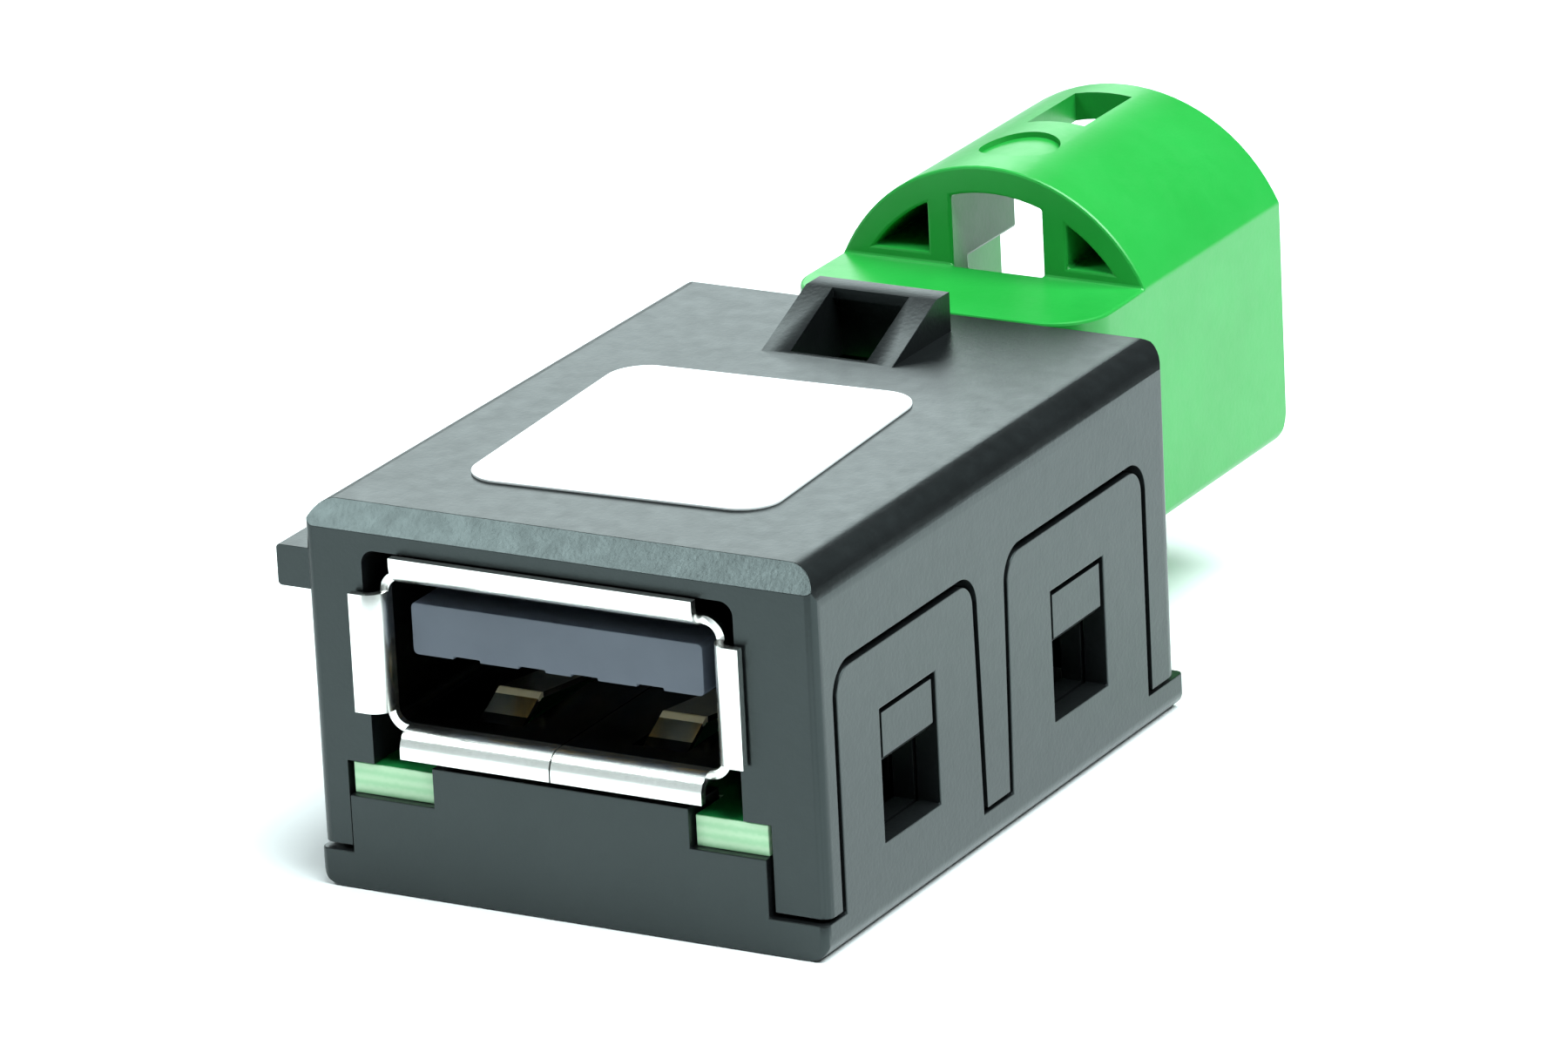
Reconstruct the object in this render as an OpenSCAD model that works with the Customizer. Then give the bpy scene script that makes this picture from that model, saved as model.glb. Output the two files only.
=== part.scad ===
// Car USB socket: a snap-closed housing with a type A socket in front and a keyed data connector behind.
// +Z is up, the socket faces -Y, and the origin is the middle of the seating face under the base.

/* [Housing] */
// Outside width of the housing
housing_width = 19.4; // [19.2:0.1:20.8]
// Outside length of the upper housing, front to rear
housing_length = 25.4; // [25:0.1:28]
// Height of the top face above the seating face
housing_height = 13.5; // [12.2:0.1:15]
// Thickness of the top wall
top_wall = 1.2; // [0.9:0.05:1.3]
// Thickness of the front wall
front_wall = 2.2; // [2:0.1:2.6]
// Thickness of the rear wall
rear_wall = 1.5; // [1.2:0.1:1.8]
// Thickness of the inner side walls behind the snap arms
inner_wall = 0.8; // [0.6:0.05:0.85]
// Rounding of the long top edge on the right
right_edge_round = 1.3; // [0.6:0.1:1.5]
// Rounding of the long top edge on the left, over the guide rail
left_edge_round = 0.9; // [0.4:0.1:1.3]
// Chamfer along the front top edge
front_chamfer = 0.8; // [0.3:0.1:1]
// Rounding of the upright front edges
front_edge_round = 0.4; // [0.2:0.05:0.5]
// Rounding of the upright rear edges
rear_edge_round = 1; // [0.4:0.1:1.2]
// Rounding of the rear top edge
rear_top_round = 0.3; // [0.2:0.1:0.8]
// Width of the front opening round the socket
opening_width = 14.1; // [13.8:0.05:14.2]
// Height of the front bar over that opening
front_bar = 1.4; // [1.35:0.05:1.6]
// Rounding of the upper corners of that opening
opening_round = 0.5; // [0.2:0.05:0.6]
// Width of the front slot that takes the board ears and the cover panel
slot_width = 16.2; // [16.1:0.02:16.3]

/* [Base and snap arms] */
// Thickness of the base plate
base_thick = 1.3; // [1:0.05:1.4]
// How far the base plate stands out in front of and behind the housing
base_lip = 0.2; // [0.1:0.05:0.3]
// Rounding of the long lower edges of the base plate
base_round = 0.7; // [0.3:0.1:0.9]
// Rounding of the upright corners of the base plate
base_corner = 0.3; // [0.2:0.05:0.6]
// Groove between the base plate and the housing
foot_gap = 0.15; // [0.1:0.01:0.25]
// Thickness of a snap arm
arm_thick = 0.9; // [0.7:0.05:1]
// Room behind a snap arm
arm_room = 0.1; // [0.05:0.01:0.15]
// Width of the groove round the snap arms
groove = 0.27; // [0.15:0.01:0.35]
// From the top face down to the top of the snap arms
arm_drop = 3.8; // [3.5:0.1:4.4]
// Rounding of the upper corners of a snap arm
arm_corner = 0.9; // [0.4:0.1:1.2]
// From the front face to the middle of the first groove
arm_start = 1.05; // [0.9:0.05:1.2]
// Length of a front arm with half a groove on each side
front_arm_length = 9.7; // [9.4:0.1:10]
// Length of a rear arm with half a groove on each side
rear_arm_length = 10.1; // [9.6:0.1:10.2]
// Width of the housing tongue between two arms, at its root
tongue_width = 2.2; // [1.8:0.1:2.3]
// How much each side of that tongue leans in towards its tip
tongue_taper = 0.2; // [0:0.05:0.3]

/* [Windows and catches] */
// Length of a window in a snap arm
window_length = 3.85; // [3.2:0.05:4.2]
// Height of the lower edge of a window
window_low = 2.75; // [2.6:0.05:3]
// Height of the upper edge of a window
window_high = 7.45; // [7:0.05:7.8]
// Height of a catch
catch_height = 1.85; // [1.2:0.05:2.2]
// Gap between a catch and its window
catch_gap = 0.2; // [0.1:0.01:0.3]
// How far the face of a catch lies below the side face
catch_sink = 0.06; // [0.03:0.01:0.2]
// Slope along the lower edge of a catch, where the arm rides over it
catch_lead = 0.3; // [0.1:0.05:0.5]

/* [Guide rail and panel catch] */
// How far the guide rail stands out from the left side
rail_reach = 1.15; // [1:0.05:1.6]
// From the top face down to the upper face of the guide rail
rail_drop = 1.65; // [1.3:0.05:1.8]
// Depth of the guide rail, low face to high face
rail_depth = 1.46; // [1:0.02:1.5]
// From the front face to the front end of the guide rail
rail_start = 0.1; // [0:0.05:1]
// Rounding of the outer edges of the guide rail
rail_round = 0.15; // [0.05:0.05:0.4]
// Width of the panel catch on the top
wedge_width = 5.1; // [4.2:0.1:5.6]
// Sideways place of the panel catch
wedge_x = -0.38; // [-0.8:0.01:0]
// Height of the panel catch over the top face
wedge_height = 1.4; // [1:0.1:1.6]
// Length of the ramp of the panel catch
wedge_ramp = 3.3; // [2.8:0.1:3.6]
// Length of the flat behind the ramp
wedge_flat = 1; // [0.8:0.1:1.2]
// From the rear face of the housing to the back of the panel catch
wedge_back = 1.8; // [1.4:0.1:2.2]
// Thickness of the two cheeks of the panel catch
wedge_cheek = 1.05; // [0.7:0.05:1.2]
// Thickness of the flat over the pocket of the panel catch
wedge_roof = 0.4; // [0.3:0.05:0.6]
// Thickness of the wall behind that pocket
wedge_wall = 0.5; // [0.4:0.05:0.6]
// Rim left in front of that pocket
wedge_rim = 0.15; // [0.1:0.05:0.4]

/* [Circuit board] */
// Thickness of the circuit board
board_thick = 1.1; // [1:0.05:1.15]
// Gap at the front and rear ends of the board
board_gap = 0.2; // [0.15:0.05:0.3]
// Length of the step under the rear end of the board
board_rest = 1.1; // [0.8:0.1:1.4]
// Half of the width of the board behind the front wall
board_half = 6.95; // [6.9:0.01:6.98]
// Half of the width over the front ears
ear_half = 7.92; // [7.8:0.02:7.94]
// How far the ears lie behind the front face
ear_sink = 0.1; // [0:0.05:0.3]
// Width of the cover panel between the two ears
panel_mid_width = 10; // [9:0.1:10.4]
// From the middle of the socket to the middle of that panel
panel_mid_x = 0.2; // [-0.2:0.05:0.3]
// How far that panel rises over the board
panel_rise = 0.3; // [0.1:0.05:0.5]
// How much thinner that panel is than the front wall
panel_inset = 0.3; // [0.2:0.05:0.4]
// Diameter of the posts that carry the board
post_diameter = 2; // [1.6:0.1:2.4]
// Sideways place of the posts, from the middle of the board
post_x = 4.6; // [4.2:0.1:4.9]
// From the front face to the first two posts
post_front = 6.9; // [6.2:0.1:7.4]
// From the front face to the other two posts
post_rear = 12.2; // [11.4:0.1:12.6]
// Diameter of the holes for round or square leads
lead_hole = 1; // [0.9:0.05:1.1]

/* [Socket] */
// Sideways place of the socket and the board
socket_x = -0.42; // [-0.44:0.01:-0.2]
// From the top face down to the middle of the mouth
socket_drop = 4.95; // [4.92:0.01:5.05]
// Width of the mouth
mouth_width = 12.5; // [12.4:0.02:12.6]
// Height of the mouth
mouth_height = 5.12; // [5.08:0.02:5.2]
// Rounding of the corners of the mouth
mouth_round = 0.5; // [0.3:0.05:0.7]
// Thickness of the shell sheet
sheet = 0.3; // [0.25:0.01:0.32]
// Length of the shell behind the front face
shell_length = 13.4; // [13:0.1:13.6]
// Height of the underside of the shell over the board
shell_seat = 1.24; // [1.1:0.02:1.4]
// Width of the seam along the floor of the shell
seam = 0.06; // [0.04:0.01:0.12]
// Length of a shell leg
leg_length = 1.6; // [1.2:0.1:2]
// From the front face to the first two shell legs
leg_front = 4.2; // [3.4:0.1:5]
// From the front face to the other two shell legs
leg_rear = 9.6; // [8.6:0.1:10.4]
// Width over the flared lips
lip_over_width = 14.8; // [14.6:0.05:15]
// Height over the flared lips
lip_over_height = 7.1; // [7:0.02:7.14]
// Length of the upper and lower lips
top_lip_length = 11.5; // [10.5:0.1:11.6]
// Length of the side lips
side_lip_length = 4.2; // [3.6:0.1:4.4]
// How far the lips stand in front of the housing
lip_proud = 0.42; // [0.38:0.01:0.5]
// Inner radius of the bend into a lip
lip_bend = 0.4; // [0.3:0.02:0.45]
// Width of the tongue that carries the contacts
tongue_span = 11.1; // [10.8:0.05:11.3]
// Thickness of that tongue
tongue_thick = 1.84; // [1.7:0.02:1.9]
// How far the underside of the tongue hangs below the middle of the mouth
tongue_hang = 0.1; // [0:0.02:0.2]
// Rounding of the long edges of the tongue
tongue_round = 0.2; // [0.1:0.05:0.4]
// How far the tongue lies behind the front face
tongue_sink = 0.5; // [0.3:0.05:0.8]
// From the front face to the block behind the tongue
block_depth = 9.3; // [9.1:0.1:9.6]
// Width of the foot of that block on the board
block_foot = 10; // [9:0.1:10.3]
// From the front of that block to its foot
foot_inset = 0.5; // [0.3:0.1:0.8]
// Sideways place of the two inner contacts
contact_inner = 1; // [0.9:0.05:1.1]
// Sideways place of the two outer contacts
contact_outer = 3.5; // [3.3:0.05:3.6]
// Width of a socket contact
contact_width = 1; // [0.8:0.05:1.2]
// Thickness of a socket contact
contact_thick = 0.25; // [0.2:0.01:0.28]
// How deep a contact lies in the tongue
contact_sink = 0.1; // [0.05:0.01:0.15]
// From the front end of the tongue to the tip of a contact
contact_start = 0.7; // [0.5:0.1:1]
// Length of the bowed part of a contact
contact_bow_length = 3.2; // [2.6:0.1:3.6]
// How far a contact bows down into the mouth
contact_bow = 0.3; // [0.2:0.05:0.4]
// From the rear of the shell to the tails of the contacts
tail_reach = 0.8; // [0.7:0.05:1]
// Width of the tail of a contact
tail_width = 0.6; // [0.5:0.05:0.65]
// Width of a spring in the floor of the shell
spring_width = 1.65; // [1.3:0.05:1.9]
// Thickness of a spring
spring_thick = 0.2; // [0.16:0.02:0.24]
// Sideways place of the two springs
spring_x = 3.15; // [2.8:0.05:3.4]
// From the front face to the tip of a spring
spring_tip = 1.65; // [1.5:0.05:2]
// From the front face to the crest of a spring
spring_crest = 3.2; // [2.8:0.1:3.6]
// From the front face to the root of a spring
spring_root = 8; // [7:0.1:8.6]
// Height of the crest of a spring over the floor
spring_rise = 0.6; // [0.4:0.05:0.8]
// How far the tip of a spring dips under the floor
spring_dip = 0.25; // [0.1:0.05:0.4]
// Gap round a spring
spring_gap = 0.2; // [0.15:0.05:0.3]

/* [Rear connector] */
// Sideways place of the rear connector
shroud_x = 0.2; // [-0.2:0.05:0.3]
// Width of the shroud
shroud_width = 12; // [11.4:0.1:12.6]
// Height of the shroud's flat sides
shroud_side = 8.9; // [8.4:0.05:9.2]
// Rise of the arch over the flat sides
arch_rise = 3.8; // [3.6:0.05:4.4]
// Length of the ledge in front of the arch
ledge_length = 4.65; // [4.2:0.05:5.2]
// Length of the hood under the arch
hood_length = 10.6; // [10:0.1:12]
// Wall thickness of the hood
hood_wall = 1; // [0.8:0.05:1.2]
// Thickness of the hood's front wall, under the arch
hood_front_wall = 1.2; // [0.8:0.05:1.6]
// Step that widens the rear mouth of the hood on each side
mouth_step = 0.45; // [0.2:0.05:0.6]
// Depth of that step
mouth_step_depth = 0.7; // [0.4:0.1:1]
// Rounding of the shroud's long lower edges
shroud_round = 0.5; // [0.3:0.05:0.8]
// Rounding of the lower rear corners of the hood, seen from the side
hood_round = 1.1; // [0.5:0.1:1.5]
// Rounding of the upright front corners of the shroud
ledge_round = 2; // [1:0.1:2.6]
// Gap between the housing and the shroud
shroud_gap = 0.35; // [0.3:0.05:0.6]
// Width of the middle opening under the arch
tunnel_width = 3.6; // [3:0.1:4]
// Sideways place of that opening in the shroud
tunnel_x = 0.2; // [0:0.05:0.3]
// How far that opening is sunk below the ledge
tunnel_sink = 0.5; // [0.3:0.05:0.8]
// Thickness of the ribs between it and the blind pocket on each side
rib_thick = 0.95; // [0.8:0.05:1.2]
// Depth of the two pockets
pocket_depth = 4.4; // [2:0.1:4.5]
// Thickness of the floor and the rear wall of a pocket
pocket_wall = 0.4; // [0.3:0.05:0.7]
// Width of the latch window in the arch
latch_width = 2.3; // [1.8:0.1:2.8]
// Sideways place of the latch window
latch_x = -0.3; // [-0.4:0.05:0.4]
// Length of the latch window
latch_length = 3.7; // [3:0.1:4.2]
// From the rear end of the hood to the latch window
latch_back = 1.25; // [1:0.05:1.6]
// Diameter of the round recess in the arch, in line with the latch window
recess_diameter = 2.9; // [2:0.1:3.2]
// From the front of the arch to the middle of the recess
recess_front = 2.9; // [2:0.1:3.2]
// Depth of the recess
recess_depth = 0.2; // [0.1:0.05:0.4]
// Width of the neck that goes through the rear wall
neck_width = 9.2; // [8.8:0.1:9.6]
// Height of the neck
neck_height = 7.3; // [6.9:0.05:7.45]
// Length of the flange of the neck, inside the rear wall
flange_length = 2.4; // [2:0.1:2.8]
// How far that flange stands out beside the neck
flange_step = 0.9; // [0.6:0.05:1.2]
// Height of the shield's middle over the board
axis_height = 4.2; // [4:0.05:4.4]
// Outside diameter of the shield sleeve
shield_diameter = 5.6; // [5.2:0.1:5.8]
// Wall thickness of the shield sleeve
shield_wall = 0.35; // [0.25:0.05:0.45]
// From the rear end of the hood to the end of the shield sleeve
shield_recess = 4.6; // [4.4:0.1:5.2]
// From the front of the flange to the front end of the sleeve
shield_lead = 0.7; // [0.5:0.05:0.9]
// Length of the two shield legs
shield_leg = 0.6; // [0.4:0.05:0.7]
// How far the core ends inside the sleeve
core_recess = 1; // [0.6:0.1:1.4]
// How far the rear pins end inside the sleeve
pin_recess = 0.4; // [0.2:0.05:0.6]
// From the front end of the sleeve to the bend of the lower pins
near_row = 1.1; // [1:0.05:1.2]
// From the front end of the sleeve to the bend of the upper pins
far_row = 2.4; // [2.2:0.05:2.6]
// Distance between neighbouring rear pins
pin_pitch = 1.9; // [1.7:0.05:2]
// Width of a rear pin, which is square
pin_width = 0.5; // [0.4:0.05:0.6]

/* [Board parts] */
// From the contact tails back to the middle of the choke and the array
parts_back = 1.9; // [1.7:0.05:2.1]
// Sideways place of the choke
choke_x = -4.4; // [-4.6:0.05:-4.2]
// Length of the choke
choke_length = 3.2; // [2.6:0.1:3.6]
// Width of the choke
choke_width = 2.2; // [1.6:0.1:2.4]
// Height of the choke
choke_height = 1.9; // [1.6:0.1:2.4]
// Thickness of the two plates of the choke
choke_plate = 0.5; // [0.4:0.05:0.6]
// Length of the choke's core between its plates
choke_core_length = 1.8; // [1.4:0.1:2.2]
// Width of that core
choke_core_width = 1.6; // [1.2:0.1:1.8]
// Length of the surge array
array_length = 2.9; // [2.5:0.1:3.1]
// Width of its body
array_width = 1.2; // [1:0.1:1.4]
// Height of the surge array
array_height = 1.1; // [0.9:0.05:1.3]
// Gap between its body and the board
array_seat = 0.15; // [0.05:0.05:0.25]
// Distance between neighbouring leads of the array
array_pitch = 0.95; // [0.85:0.05:1]
// Width and height of a lead of the array
array_lead = 0.4; // [0.3:0.05:0.5]
// How far the leads of the array stand out
array_lead_reach = 0.4; // [0.25:0.05:0.5]
// Length of a bypass capacitor
cap_length = 1.6; // [1.2:0.1:2]
// Width and height of a bypass capacitor
cap_width = 0.8; // [0.6:0.05:1]
// Groove beside the end caps of a bypass capacitor
cap_groove = 0.12; // [0.06:0.02:0.16]
// Sideways place of the bypass capacitors
cap_x = 3.6; // [3.2:0.1:4]
// Distance between the two bypass capacitors
cap_pitch = 1.3; // [1.2:0.05:1.4]

/* [Label] */
// Sideways place of the label
label_x = -0.6; // [-1:0.05:0]
// From the front face to the middle of the label
label_front = 10.4; // [9.5:0.1:10.6]
// Width of the label
label_width = 11.4; // [9:0.1:12]
// Length of the label
label_length = 12.5; // [9:0.1:13]
// Thickness of the label
label_thick = 0.1; // [0.08:0.01:0.2]
// Rounding of the corners of the label
label_round = 1.4; // [0.3:0.1:2]
// Turn of the label on the top face, in degrees
label_turn = 3; // [0:0.5:4]

/* [Hidden] */
$fn = 64;
over = 1;                       // overshoot of a cut past the face it opens
bond = 0.2;                     // overlap of two bodies that are moulded as one
fit = 0.1;                      // clearance between parts that slide together
skim = 0.05;                    // how far a cut in the sheet reaches past its inner face

half_width = housing_width / 2;
front_y = -housing_length / 2;
rear_y = housing_length / 2;
foot_z = base_thick + foot_gap;
ceiling = housing_height - top_wall;

arm_top = housing_height - arm_drop;
arm_in = half_width - arm_thick;
wall_out = arm_in - arm_room;
wall_in = wall_out - inner_wall;
front_arm = [front_y + arm_start, front_y + arm_start + front_arm_length];
rear_arm = [front_arm[1] + tongue_width, front_arm[1] + tongue_width + rear_arm_length];
arms = [[front_arm, [0, tongue_taper]], [rear_arm, [tongue_taper, 0]]];
rail_high = housing_height - rail_drop;
wedge_rear = rear_y - wedge_back;
wedge_crest = wedge_rear - wedge_flat;
wedge_front = wedge_crest - wedge_ramp;
wedge_top = housing_height + wedge_height;

socket_z = housing_height - socket_drop;
shell_half = mouth_width / 2 + sheet;
shell_low = socket_z - mouth_height / 2 - sheet;
shell_rear = front_y + shell_length;
bend_y = front_y - lip_proud + sheet + lip_bend;
block_y = front_y + block_depth;
tongue_front = front_y + tongue_sink;
tongue_low = socket_z - tongue_hang;
contact_places = [-contact_outer, -contact_inner, contact_inner, contact_outer];
contact_high = tongue_low + contact_sink;
contact_low = contact_high - contact_thick;
tail_y = shell_rear + tail_reach;
leg_places = [front_y + leg_front, front_y + leg_rear];

board_top = shell_low - shell_seat;
board_low = board_top - board_thick;
board_front = front_y + front_wall - board_gap;
board_rear = rear_y - rear_wall - board_gap;
lead_end = (base_thick + board_low) / 2;
slot_half = slot_width / 2;
opening_half = opening_width / 2;
panel_depth = front_wall - panel_inset;
panel_high = board_top + panel_rise;

shroud_front = rear_y + shroud_gap;
hood_front = shroud_front + ledge_length;
hood_rear = hood_front + hood_length;
hood_floor = hood_front + hood_front_wall;
shroud_half = shroud_width / 2;
neck_half = neck_width / 2;
crease_z = board_top + shroud_side;
arch_top = crease_z + arch_rise;
flange_rear = rear_y - rear_wall;
flange_front = flange_rear - flange_length;
axis_z = board_top + axis_height;
sleeve_front = flange_front - shield_lead;
sleeve_rear = hood_rear - shield_recess;
shield_radius = shield_diameter / 2;
core_radius = shield_radius - shield_wall;
pin_places = [[-1, 1, far_row], [1, 1, far_row], [-1, -1, near_row], [1, -1, near_row]];
parts_y = tail_y + parts_back;

black = [0.13, 0.13, 0.14];
metal = [0.86, 0.86, 0.84];
gold = [0.85, 0.68, 0.32];
green = [0.13, 0.72, 0.25];
ceramic = [0.72, 0.6, 0.45];

// A rectangle from two corners, with a radius for each: low left, low right, high right, high left.
module round_rect(low, high, radii) {
    difference() {
        translate(low) square(high - low);
        corner_cut(low, [1, 1], radii[0]);
        corner_cut([high[0], low[1]], [-1, 1], radii[1]);
        corner_cut(high, [-1, -1], radii[2]);
        corner_cut([low[0], high[1]], [1, -1], radii[3]);
    }
}

module corner_cut(corner, inward, radius) {
    if (radius > 0)
        difference() {
            translate(corner + inward * radius / 2) square(radius, center = true);
            translate(corner + inward * radius) circle(radius);
        }
}

function all_corners(radius) = [radius, radius, radius, radius];

// Flat profiles drawn out along one axis.
module along_x(from, to) translate([from, 0, 0]) rotate([90, 0, 90]) linear_extrude(to - from) children();
module along_y(from, to) translate([0, to, 0]) rotate([90, 0, 0]) linear_extrude(to - from) children();
module along_z(from, to) translate([0, 0, from]) linear_extrude(to - from) children();

module block(low, high) translate(low) cube(high - low);

module both_sides() {
    children();
    mirror([1, 0, 0]) children();
}

// Outline of one snap arm in the side view, grown outward by a margin.
module arm_outline(span, lean, grow, low) {
    radius = arm_corner + grow;
    shoulder = arm_top + grow - radius;
    front = span[0] + groove / 2 - grow;
    rear = span[1] - groove / 2 + grow;
    round_rect([front, shoulder - bond], [rear, arm_top + grow], [0, 0, radius, radius]);
    polygon([[front, shoulder], [rear, shoulder], [rear + lean[1], low], [front - lean[0], low]]);
}

module window_outline(span, low, high) {
    middle = (span[0] + span[1]) / 2;
    translate([middle - window_length / 2, low]) square([window_length, high - low]);
}

// The catch fills the upper part of its window, and the arm rides over the slope along its lower edge.
module catch(span) {
    middle = (span[0] + span[1]) / 2;
    half = window_length / 2 - catch_gap;
    high = window_high - catch_gap;
    low = high - catch_height;
    face = half_width - catch_sink;
    along_y(middle - half, middle + half)
        polygon([
            [wall_out - bond, high], [face, high], [face, low + catch_lead], [face - catch_lead, low],
            [wall_out - bond, low]
        ]);
}

module housing_body() {
    intersection() {
        along_y(front_y, rear_y)
            round_rect([-half_width, foot_z], [half_width, housing_height],
                       [0, 0, right_edge_round, left_edge_round]);
        along_z(0, housing_height + over)
            round_rect([-half_width, front_y], [half_width, rear_y],
                       [front_edge_round, front_edge_round, rear_edge_round, rear_edge_round]);
        along_x(-half_width - over, half_width + over)
            difference() {
                round_rect([front_y, 0], [rear_y, housing_height], [0, 0, rear_top_round, 0]);
                polygon([
                    [front_y, housing_height], [front_y + front_chamfer, housing_height],
                    [front_y, housing_height - front_chamfer]
                ]);
            }
    }
}

module panel_catch() {
    translate([wedge_x, 0, 0])
        along_x(-wedge_width / 2, wedge_width / 2)
            polygon([
                [wedge_front, housing_height - bond], [wedge_front, housing_height], [wedge_crest, wedge_top],
                [wedge_rear, wedge_top], [wedge_rear, housing_height - bond]
            ]);
}

// The pocket between the cheeks runs in under the flat of the panel catch and down through the top wall.
module panel_catch_pocket() {
    half = wedge_width / 2 - wedge_cheek;
    translate([wedge_x, 0, 0]) {
        block([-half, wedge_front + wedge_rim, ceiling - over], [half, wedge_crest, wedge_top + over]);
        block([-half, wedge_crest - bond, ceiling - over],
              [half, wedge_rear - wedge_wall, wedge_top - wedge_roof]);
    }
}

module guide_rail() {
    along_y(front_y + rail_start, rear_y - rear_edge_round)
        round_rect([-half_width - rail_reach, rail_high - rail_depth], [-half_width + bond, rail_high],
                   [rail_round, 0, 0, rail_round]);
}

module arm_recess() {
    for (arm = arms)
        along_x(wall_out, half_width + over) arm_outline(arm[0], arm[1], groove, 0);
}

// Openings in the inner walls below the catches, where the mould reached them.
module catch_cores() {
    for (arm = arms)
        along_x(wall_in - over, wall_out + over)
            window_outline(arm[0], window_low, window_high - catch_gap - catch_height);
}

module front_cuts() {
    rear = front_y + front_wall + over;
    translate([socket_x, 0, 0]) {
        block([-slot_half, front_y - over, 0], [slot_half, rear, board_top + fit / 2]);
        along_y(front_y - over, rear)
            round_rect([-opening_half, board_top - over], [opening_half, housing_height - front_bar],
                       [0, 0, opening_round, opening_round]);
    }
}

module rear_cut() {
    half = neck_half + fit;
    translate([shroud_x, 0, 0])
        block([-half, flange_rear - over, 0], [half, rear_y + over, board_top + neck_height + fit]);
}

module inner_walls() {
    both_sides()
        block([wall_in, front_y + front_wall, base_thick], [wall_out, flange_rear, foot_z + bond]);
}

module upper_housing() {
    color(black) {
        difference() {
            union() {
                housing_body();
                guide_rail();
                panel_catch();
                inner_walls();
            }
            block([-wall_in, front_y + front_wall, 0], [wall_in, flange_rear, ceiling]);
            both_sides() {
                arm_recess();
                catch_cores();
            }
            front_cuts();
            rear_cut();
            panel_catch_pocket();
        }
        both_sides() for (arm = arms) catch(arm[0]);
    }
}

module base_plate() {
    front = front_y - base_lip;
    rear = rear_y + base_lip;
    intersection() {
        along_y(front, rear)
            round_rect([-half_width, 0], [half_width, base_thick], [base_round, base_round, 0, 0]);
        along_z(0, base_thick)
            round_rect([-half_width, front], [half_width, rear], all_corners(base_corner));
    }
}

// The front panel carries the board ears on its shoulders and fills the gap between them.
module front_panel() {
    half = slot_half - groove / 2;
    middle = panel_mid_width / 2 - fit;
    translate([socket_x, 0, 0])
        along_y(front_y - base_lip, front_y + panel_depth) {
            translate([-half, base_thick - bond]) square([2 * half, board_low - base_thick + bond]);
            translate([panel_mid_x - middle, board_low - bond])
                square([2 * middle, panel_high - board_low + bond]);
        }
}

// The rear panel closes the wall under the neck, and its inner step carries the end of the board.
module rear_panel() {
    half = neck_half - fit;
    wall = board_rear + fit;
    translate([shroud_x, 0, 0]) {
        block([-half, wall, base_thick - bond], [half, rear_y + base_lip, board_top - fit / 2]);
        block([-half, wall - board_rest, base_thick - bond], [half, wall + bond, board_low]);
    }
}

module board_posts() {
    for (x = [-post_x, post_x], y = [post_front, post_rear])
        translate([socket_x + x, front_y + y, base_thick - bond])
            cylinder(d = post_diameter, h = board_low - base_thick + bond);
}

module snap_arm(arm) {
    difference() {
        along_x(arm_in, half_width) arm_outline(arm[0], arm[1], 0, base_thick - bond);
        along_x(arm_in - over, half_width + over) window_outline(arm[0], window_low, window_high);
    }
}

module lower_cover() {
    color(black) {
        base_plate();
        front_panel();
        rear_panel();
        board_posts();
        both_sides() for (arm = arms) snap_arm(arm);
    }
}

module label() {
    half = [label_width, label_length] / 2;
    color("white")
        translate([label_x, front_y + label_front, housing_height])
            rotate([0, 0, label_turn])
                along_z(0, label_thick) round_rect(-half, half, all_corners(label_round));
}

module board_outline() {
    translate([socket_x, 0])
        difference() {
            union() {
                translate([-board_half, board_front]) square([2 * board_half, board_rear - board_front]);
                translate([-ear_half, front_y + ear_sink])
                    square([2 * ear_half, panel_depth - ear_sink + bond]);
            }
            translate([panel_mid_x - panel_mid_width / 2, front_y - over])
                square([panel_mid_width, panel_depth + fit + over]);
        }
}

module board_holes() {
    for (x = contact_places) translate([socket_x + x, tail_y - contact_thick / 2]) circle(d = lead_hole);
    for (side = [-1, 1], y = leg_places)
        translate([socket_x + side * (shell_half - sheet / 2), y])
            square([sheet + 2 * fit, leg_length + 2 * fit], center = true);
    translate([shroud_x, sleeve_front]) {
        for (pin = pin_places) translate([pin[0] * pin_pitch / 2, -pin[2]]) circle(d = lead_hole);
        for (side = [-1, 1])
            translate([side * (shield_radius - shield_wall / 2), shield_leg / 2])
                square([shield_wall + 2 * fit, shield_leg + 2 * fit], center = true);
    }
}

module circuit_board() {
    color([0.45, 0.75, 0.5])
        along_z(board_low, board_top)
            difference() {
                board_outline();
                board_holes();
            }
}

// Section of one lip: the sheet leaves the wall, bends through a quarter turn and ends in a flat.
// The first axis runs from front to rear, the second outward from the wall's inner face.
module lip_section(reach) {
    outer = lip_bend + sheet;
    translate([bend_y, outer])
        intersection() {
            difference() {
                circle(outer);
                circle(lip_bend);
            }
            translate([-outer, -outer]) square(outer);
        }
    translate([bend_y - outer, outer]) square([sheet, reach - outer]);
    translate([bend_y, 0]) square([bond, sheet]);
}

module shell_lips() {
    top_reach = (lip_over_height - mouth_height) / 2;
    side_reach = (lip_over_width - mouth_width) / 2;
    for (turn = [0, 180])
        rotate([0, turn, 0]) {
            translate([0, 0, mouth_height / 2])
                along_x(-top_lip_length / 2, top_lip_length / 2) lip_section(top_reach);
            rotate([0, 90, 0])
                translate([0, 0, mouth_width / 2])
                    along_x(-side_lip_length / 2, side_lip_length / 2) lip_section(side_reach);
        }
}

module shell_tube() {
    inner = [mouth_width, mouth_height] / 2;
    outer = inner + [sheet, sheet];
    along_y(bend_y, shell_rear)
        difference() {
            round_rect(-outer, outer, all_corners(mouth_round + sheet));
            round_rect(-inner, inner, all_corners(mouth_round));
        }
}

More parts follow.
